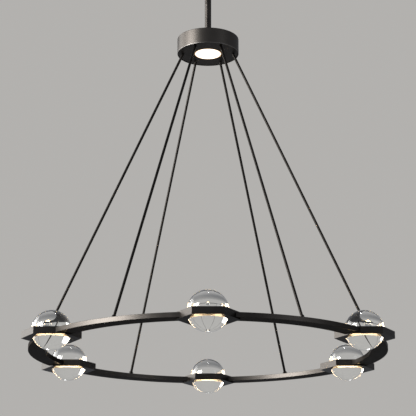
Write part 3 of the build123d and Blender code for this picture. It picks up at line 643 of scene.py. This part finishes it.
class CHANDELIER_OT_ring_bars(bpy.types.Operator):
    """Six arcs of the ring, cut to the holders' slanted sides, with their screws"""

    bl_idname = "chandelier.ring_bars"
    bl_label = "Ring bars"

    edge_segments = 4
    weld = 1e-7
    overrun = 0.01
    screw_spread = 0.012
    screw_seat = (0.0020, 0.0041, 0.0024)  # low radius, high radius, depth
    screw_sizes = (0.0038, 0.0024, 0.00195, 0.006)  # head radius, head height, shank radius, length

    def execute(self, context):
        sizes = context.scene.chandelier_sizes
        height = BAR_HIGH.z - BAR_LOW.z
        middle = (BAR_LOW.z + BAR_HIGH.z) / 2
        settle()
        bpy.ops.mesh.primitive_plane_add(size=1, location=(0, -RING_RADIUS, middle), rotation=(0, math.pi / 2, 0))
        bpy.context.object.scale = (height, sizes.bar_width, 1)
        bar = placed("bar_blank")
        bpy.ops.object.mode_set(mode="EDIT")
        bpy.ops.mesh.select_all(action="SELECT")
        bpy.ops.mesh.bevel(offset=sizes.edge_rounding, segments=self.edge_segments, affect="VERTICES")
        bpy.ops.mesh.select_all(action="SELECT")
        bpy.ops.mesh.spin(steps=sizes.arc_steps, angle=-STEP, center=(0, 0, 0), axis=(0, 0, 1))
        bpy.ops.mesh.select_all(action="SELECT")
        bpy.ops.mesh.remove_doubles(threshold=self.weld)
        bpy.ops.mesh.fill_holes(sides=0)
        bpy.ops.mesh.normals_make_consistent(inside=False)
        bpy.ops.object.mode_set(mode="OBJECT")
        ends = []
        for turn in (0.0, STEP):
            place = Matrix.Rotation(turn, 2) @ ORB_CENTRE.xy
            low, high = BAR_LOW.z - self.overrun, BAR_HIGH.z + self.overrun
            ends.append(prism("end", sizes.holder_side, low, high, place, turn=HEXAGON_TURN + turn))
        seats = solids_of("bar_screws", self.screw_spread)
        low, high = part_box("ring_bar_1")
        near = [s for s in seats if low.x < s.x < high.x and low.y < s.y < high.y and on_first_bar(s)]
        cut(bar, *ends, *screw_seats(near, self.screw_seat, BAR_HIGH.z))
        for i, piece in enumerate(copies_round(bar, "ring_arc"), 1):
            complete(piece, "fixture", FINISHES["ring_metal"], "ring_metal", f"ring_bar_{i}")
        screw = flush_screw("bar_screw_heads", *self.screw_sizes)
        screws = copies_at(screw, "bar_screw_heads", seats)
        complete(screws, "fixture", FINISHES["screw_steel"], "screw_steel", "bar_screws")
        return {"FINISHED"}


def on_first_bar(point):
    """Whether a point is between the first two holders, counted from -Y towards +X."""
    return 0.0 < math.atan2(point.x, -point.y) < STEP


class CHANDELIER_OT_rods(bpy.types.Operator):
    """Six leaning support rods and the turned collars at their feet"""

    bl_idname = "chandelier.rods"
    bl_label = "Support rods"

    rod_sides = 48
    rod_rounding = 0.0004
    groove = 0.0005
    groove_low = 0.62  # of the collar's length
    groove_high = 0.70
    collar_chamfer = 0.0008

    def execute(self, context):
        sizes = context.scene.chandelier_sizes
        feet = []
        for i in range(ORB_COUNT):
            node = f"support_rod_{i + 1}"
            low, high = rod_ends(node)
            axis = (high - low).normalized()
            lean = axis.to_track_quat("Z", "Y").to_euler()
            settle()
            bpy.ops.mesh.primitive_cylinder_add(
                vertices=self.rod_sides, radius=sizes.rod_radius, depth=(high - low).length,
                location=(low + high) / 2, rotation=lean,
            )
            rod = soften(placed(f"rod_{i + 1}"), self.rod_rounding)
            # The rod gets the darkened bronze, painted shade that takes its highlights off.
            complete(rod, "fixture", FINISHES["shaded_rod"], "rod_metal", node)
            feet.append(self.foot(sizes, low, axis, lean))
        collars = joined("rod_collars", feet)
        complete(collars, "fixture", FINISHES["rod_metal"], "rod_metal", "rod_feet")
        return {"FINISHED"}

    def foot(self, sizes, end, axis, lean):
        """Collar with a fine groove at a share of its length, cut flat where it sits on the bar."""
        top = BAR_HIGH.z
        base = end + axis * ((top - end.z) / axis.z)
        r, reach = sizes.foot_radius, sizes.foot_length
        groove, chamfer = self.groove, self.collar_chamfer
        low, high = self.groove_low * reach, self.groove_high * reach
        steps = [
            (r, -r), (r, low), (r - groove, low + groove), (r - groove, high), (r, high + groove),
            (r, reach - chamfer), (r - chamfer, reach), (sizes.rod_radius, reach),
        ]
        collar = lathe("collar", steps, sides=TUBE_SIDES, closed=False)
        collar.location, collar.rotation_euler = base, lean
        take(collar)
        placed("collar")
        bpy.ops.object.mode_set(mode="EDIT")
        bpy.ops.mesh.select_all(action="SELECT")
        bpy.ops.mesh.bisect(plane_co=(0, 0, top), plane_no=(0, 0, 1), clear_inner=True, use_fill=True)
        bpy.ops.object.mode_set(mode="OBJECT")
        return collar


class CHANDELIER_OT_hub(bpy.types.Operator):
    """The hub's shell and base plate, and the screws on its top"""

    bl_idname = "chandelier.hub"
    bl_label = "Hub"

    roof_thickness = 0.0025
    stem_hole = 0.00515
    base_thickness = 0.004
    rod_gap = 0.0003
    rod_hole_depth = 0.06
    rounding = 0.0003
    top_segments = 5
    chamfer_segments = 2
    wall_clearance = 1e-4
    highlight_reach = 1.1  # in chamfer widths
    highlight_normals = (-0.97, -0.2)  # heights of the face normals that get the painted highlight, between these
    screw_spread = 0.012
    screw_sizes = (0.0046, 0.003, 0.00245, 0.01)  # head radius, head height, shank radius, length

    def execute(self, context):
        sizes = context.scene.chandelier_sizes
        radius, low, high = HUB_HIGH.x, HUB_LOW.z, HUB_HIGH.z
        inner, roof, hole = radius - sizes.hub_wall, high - self.roof_thickness, self.stem_hole
        steps = [(radius, low), (radius, high), (hole, high), (hole, roof), (inner, roof), (inner, low)]
        shell = lathe("hub_drum", steps)
        pick_edges(shell, lambda p: p.z > high - LEVEL and p.xy.length > inner)
        bpy.ops.mesh.bevel(offset=sizes.hub_rounding, segments=self.top_segments)
        pick_edges(shell, lambda p: p.z < low + LEVEL and p.xy.length > inner + self.wall_clearance)
        bpy.ops.mesh.bevel(offset=sizes.hub_chamfer, segments=self.chamfer_segments)
        soften(shell, self.rounding, 2, 50)
        shell.data.materials.append(FINISHES["hub_metal"])
        # The lower chamfer's faces get the lighter bronze, a painted highlight along the hub's lower edge.
        shell.data.materials.append(FINISHES["rim_highlight"])
        rim, top = radius - self.highlight_reach * sizes.hub_chamfer, low + sizes.hub_chamfer
        facing_down, facing_out = self.highlight_normals
        for face in shell.data.polygons:
            at_edge = face.center.xy.length > rim and face.center.z < top
            face.material_index = int(at_edge and facing_down < face.normal.z < facing_out)
        complete(shell, "fixture", None, "hub_metal", "hub_shell")
        base_low, base_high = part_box("hub_base")
        outer, lens, flange = base_high.x, sizes.lens_radius, sizes.lens_radius + LENS_LEDGE
        face = base_low.z
        ledge, back = face + LENS_LEDGE, face + self.base_thickness
        steps = [(lens, face), (outer, face), (outer, back), (flange, back), (flange, ledge), (lens, ledge)]
        base = lathe("hub_base_plate", steps)
        cut(base, *[self.rod_hole(i, sizes.rod_radius + self.rod_gap) for i in range(ORB_COUNT)])
        soften(base, self.rounding, 2, 50)
        complete(base, "fixture", FINISHES["hub_metal"], "hub_metal", "hub_base")
        places = [Vector((s.x, s.y, high)) for s in solids_of("hub_screws", self.screw_spread)]
        screw = domed_screw("hub_screw_heads", *self.screw_sizes)
        screws = copies_at(screw, "hub_screw_heads", places)
        complete(screws, "fixture", FINISHES["screw_steel"], "screw_steel", "hub_screws")
        return {"FINISHED"}

    def rod_hole(self, index, radius):
        low, high = rod_ends(f"support_rod_{index + 1}")
        axis = (high - low).normalized()
        settle()
        bpy.ops.mesh.primitive_cylinder_add(
            vertices=SCREW_SIDES, radius=radius, depth=self.rod_hole_depth,
            location=high, rotation=axis.to_track_quat("Z", "Y").to_euler(),
        )
        return placed("rod_hole")


class CHANDELIER_OT_downlight(bpy.types.Operator):
    """The downlight's softly domed opal lens"""

    bl_idname = "chandelier.downlight"
    bl_label = "Downlight"

    rim_gap = 0.0002
    dome_steps = (0.04, 0.2, 0.4, 0.6, 0.8, 0.92, 1.0)

    def execute(self, context):
        sizes = context.scene.chandelier_sizes
        rim = sizes.lens_radius - self.rim_gap
        face, back = LENS_LOW.z, LENS_HIGH.z
        steps = [(rim * share, face - sizes.lens_dome * (1 - share ** 2)) for share in self.dome_steps]
        steps += [(rim, back - LENS_LEDGE), (rim + LENS_LEDGE, back - LENS_LEDGE), (rim + LENS_LEDGE, back)]
        lens = lathe("lens", steps, closed=False)
        complete(lens, "fixture", FINISHES["downlight_opal"], "downlight_opal", "downlight_lens", smooth_angle=50)
        return {"FINISHED"}


class CHANDELIER_OT_stem(bpy.types.Operator):
    """The straight tube between hub and ceiling, and the swivel ball on top of it"""

    bl_idname = "chandelier.stem"
    bl_label = "Stem and ball"

    end_rounding = 0.0004
    ball_flat = 0.0102
    ball_steps = 24
    neck = 0.007
    bore = 0.00505

    def execute(self, context):
        sizes = context.scene.chandelier_sizes
        radius = STEM_HIGH.x
        inner = radius - sizes.stem_wall
        low, high = STEM_LOW.z, STEM_HIGH.z
        tube = lathe("stem_tube", [(radius, low), (radius, high), (inner, high), (inner, low)], sides=TUBE_SIDES)
        soften(tube, self.end_rounding)
        complete(tube, "fixture", FINISHES["rod_metal"], "rod_metal", "stem")
        ball_radius = BALL_HIGH.x
        centre = BALL_HIGH.z - math.sqrt(ball_radius ** 2 - self.ball_flat ** 2)
        start = -math.acos(self.neck / ball_radius)
        end = math.asin((BALL_HIGH.z - centre) / ball_radius)
        arc = [start + (end - start) * i / self.ball_steps for i in range(self.ball_steps + 1)]
        steps = [(self.bore, BALL_LOW.z), (self.neck, BALL_LOW.z)]
        steps += [(ball_radius * math.cos(a), centre + ball_radius * math.sin(a)) for a in arc]
        steps += [(self.bore, BALL_HIGH.z)]
        ball = lathe("swivel_knuckle", steps, sides=TUBE_SIDES)
        complete(ball, "fixture", FINISHES["rod_metal"], "rod_metal", "swivel_ball")
        return {"FINISHED"}


class CHANDELIER_OT_ceiling_fitting(bpy.types.Operator):
    """The canopy on the ceiling, open in its middle for the swivel's seat"""

    bl_idname = "chandelier.ceiling_fitting"
    bl_label = "Ceiling fitting"

    seat_hole = 0.01805
    floor_thickness = 0.002
    rounding = 0.0004
    edge_segments = 8

    def execute(self, context):
        sizes = context.scene.chandelier_sizes
        radius, low, high = CANOPY_HIGH.x, CANOPY_LOW.z, CANOPY_HIGH.z
        inner, hole, floor = radius - sizes.canopy_wall, self.seat_hole, low + self.floor_thickness
        steps = [(hole, low), (radius, low), (radius, high), (inner, high), (inner, floor), (hole, floor)]
        canopy = lathe("canopy_cup", steps)
        pick_edges(canopy, lambda p: p.z < low + LEVEL and p.xy.length > inner)
        bpy.ops.mesh.bevel(offset=sizes.canopy_rounding, segments=self.edge_segments)
        soften(canopy, self.rounding, 2, 50)
        complete(canopy, "ceiling_mount", FINISHES["hub_metal"], "hub_metal", "ceiling_canopy")
        return {"FINISHED"}


class CHANDELIER_OT_stage(bpy.types.Operator):
    """Plain pale floor and background, soft studio light, and the camera"""

    bl_idname = "chandelier.stage"
    bl_label = "Stage"

    camera_distance = 3.615
    camera_height = -1.916
    camera_pitch = math.radians(16.53)
    camera_lens = 120.9
    floor_depth = 2.6
    floor_reach = 8.0
    floor_solid = 3.0
    pale = (0.45, 0.44, 0.425)
    ambient = (0.9, 0.93, 1.0)
    ambient_strength = 0.35
    aim_share = 0.8
    # name, place, width, height, watts, tint, and spread in degrees
    lamps = (
        ("window_light", (-3.0, 1.3, -0.3), 2.4, 3.2, 34.0, (1.0, 0.99, 0.97), 75.0),
        ("key_light", (-3.3, -1.6, -0.3), 2.4, 2.4, 92.0, (1.0, 0.985, 0.96), 75.0),
        ("fill_light", (3.4, -2.6, -0.2), 1.6, 2.4, 14.0, (0.96, 0.98, 1.0), 180.0),
        ("top_light", (0.0, 0.5, 1.6), 0.3, 0.3, 8.0, (1.0, 1.0, 1.0), 180.0),
    )

    def execute(self, context):
        self.camera(context.scene)
        self.floor()
        for lamp in self.lamps:
            self.lamp(*lamp)
        self.world(context.scene)
        context.scene.view_settings.view_transform = "Standard"
        return {"FINISHED"}

    def camera(self, scene):
        settle()
        bpy.ops.object.camera_add(
            location=(0, -self.camera_distance, self.camera_height),
            rotation=(math.pi / 2 + self.camera_pitch, 0, 0),
        )
        camera = bpy.context.object
        camera.data.sensor_width = 36.0
        camera.data.lens = self.camera_lens
        camera.data.clip_end = 200.0
        scene.camera = camera

    def floor(self):
        settle()
        bpy.ops.mesh.primitive_circle_add(
            vertices=96, radius=self.floor_reach, fill_type="NGON", location=(0, 0, -self.floor_depth)
        )
        floor = placed("floor")
        finish = Finish("pale_floor", Roughness=0.9)
        cloud = finish.noise(0.7, 3.0)
        finish.give("Base Color", finish.blend(cloud, self.pale, shaded(self.pale, 0.97)))
        flat = finish.stretched(1.0, 1.0, 0.0)
        reach = finish.add("ShaderNodeVectorMath", {0: flat}, operation="LENGTH").outputs["Value"]
        finish.give("Alpha", finish.spread(reach, 1.0, 0.0, self.floor_solid, self.floor_reach))
        floor.data.materials.append(finish.material)

    def lamp(self, name, place, width, height, watts, tint, spread):
        settle()
        bpy.ops.object.light_add(type="AREA", location=place)
        lamp = bpy.context.object
        lamp.name = name
        lamp.data.shape = "RECTANGLE"
        lamp.data.size, lamp.data.size_y = width, height
        lamp.data.energy, lamp.data.color = watts, tint
        lamp.data.spread = math.radians(spread)
        aim = Vector((0, 0, BAR_LOW.z * self.aim_share)) - lamp.location
        lamp.rotation_euler = aim.to_track_quat("-Z", "Y").to_euler()

    def world(self, scene):
        """Pale to the camera and through the glass, and a dim cool light to all else."""
        world = bpy.data.worlds.new("studio")
        scene.world = world
        world.use_nodes = True
        nodes, links = world.node_tree.nodes, world.node_tree.links
        nodes.clear()
        path = nodes.new("ShaderNodeLightPath")
        seen = nodes.new("ShaderNodeMath")
        seen.operation = "MAXIMUM"
        links.new(path.outputs["Is Camera Ray"], seen.inputs[0])
        links.new(path.outputs["Is Transmission Ray"], seen.inputs[1])
        ambient, shown = nodes.new("ShaderNodeBackground"), nodes.new("ShaderNodeBackground")
        ambient.inputs["Color"].default_value = (*self.ambient, 1.0)
        ambient.inputs["Strength"].default_value = self.ambient_strength
        shown.inputs["Color"].default_value = (*self.pale, 1.0)
        shown.inputs["Strength"].default_value = 1.0
        mix = nodes.new("ShaderNodeMixShader")
        links.new(seen.outputs[0], mix.inputs["Fac"])
        links.new(ambient.outputs[0], mix.inputs[1])
        links.new(shown.outputs[0], mix.inputs[2])
        out = nodes.new("ShaderNodeOutputWorld")
        links.new(mix.outputs[0], out.inputs["Surface"])


OPERATORS = (
    CHANDELIER_OT_finishes,
    CHANDELIER_OT_orbs,
    CHANDELIER_OT_holders,
    CHANDELIER_OT_covers,
    CHANDELIER_OT_ring_bars,
    CHANDELIER_OT_rods,
    CHANDELIER_OT_hub,
    CHANDELIER_OT_downlight,
    CHANDELIER_OT_stem,
    CHANDELIER_OT_ceiling_fitting,
    CHANDELIER_OT_stage,
)


class CHANDELIER_PT_panel(bpy.types.Panel):
    """Builds the chandelier piece by piece"""

    bl_idname = "CHANDELIER_PT_panel"
    bl_label = "Orb chandelier"
    bl_space_type = "VIEW_3D"
    bl_region_type = "UI"
    bl_category = "Chandelier"

    def draw(self, context):
        for group in (context.scene.chandelier_sizes, context.scene.chandelier_finish):
            box = self.layout.box()
            for name in group.__annotations__:
                box.prop(group, name)
        for operator in OPERATORS:
            self.layout.operator(operator.bl_idname)


CLASSES = (ChandelierSizes, ChandelierFinish, *OPERATORS, CHANDELIER_PT_panel)


def register():
    for cls in CLASSES:
        bpy.utils.register_class(cls)
    bpy.types.Scene.chandelier_sizes = PointerProperty(type=ChandelierSizes)
    bpy.types.Scene.chandelier_finish = PointerProperty(type=ChandelierFinish)


def unregister():
    del bpy.types.Scene.chandelier_finish
    del bpy.types.Scene.chandelier_sizes
    for cls in reversed(CLASSES):
        bpy.utils.unregister_class(cls)


def main():
    register()
    for operator in OPERATORS:
        group, name = operator.bl_idname.split(".")
        getattr(getattr(bpy.ops, group), name)()


if __name__ == "__main__":
    main()
